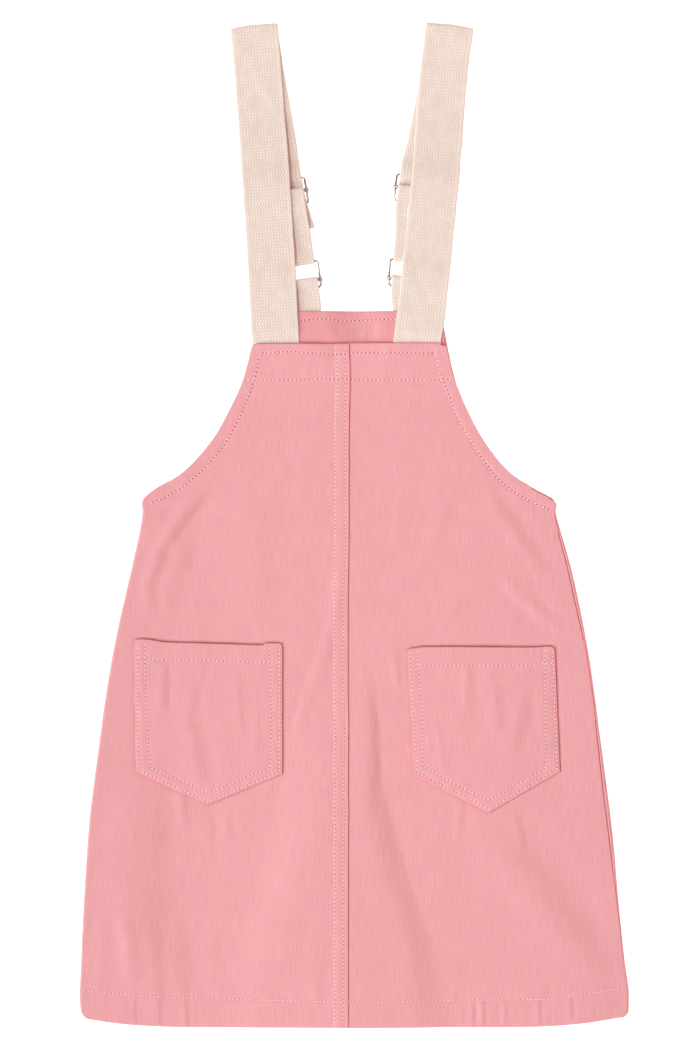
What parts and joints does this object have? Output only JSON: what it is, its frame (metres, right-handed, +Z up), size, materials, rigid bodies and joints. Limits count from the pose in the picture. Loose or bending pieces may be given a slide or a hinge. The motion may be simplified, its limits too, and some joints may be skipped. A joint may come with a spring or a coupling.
{
  "type": "pinafore dress",
  "caption": "Child's sleeveless pinafore dress laid flat, with a seamed bib front, patch pockets and webbing straps on wire sliders.",
  "frame": {"origin": "centre of the bounding box in plan, on the surface that the dress lies on", "axes": "+Z up out of the front of the dress, +Y from hem to shoulders, +X towards the dress's right edge as seen from the front"},
  "size_m": [0.4386, 0.803, 0.0086],
  "materials": {
    "twill": "soft slubbed pink cotton twill",
    "facing": "the same twill seen from its inner side",
    "webbing": "cream cotton webbing woven in a zigzag rib",
    "steel": "bright nickel-plated steel wire"
  },
  "bodies": {
    "root": {"front_left": "twill", "front_right": "twill", "back": "twill", "back_facing": "facing", "pocket_left": "twill", "pocket_right": "twill", "strap_left": "webbing", "strap_right": "webbing", "loop_left": "webbing", "loop_right": "webbing", "slider_frame_upper_left": "steel", "slider_frame_upper_right": "steel", "slider_frame_lower_left": "steel", "slider_frame_lower_right": "steel", "slider_bar_upper_left": "steel", "slider_bar_upper_right": "steel", "slider_bar_lower_left": "steel", "slider_bar_lower_right": "steel"}
  },
  "joints": []
}
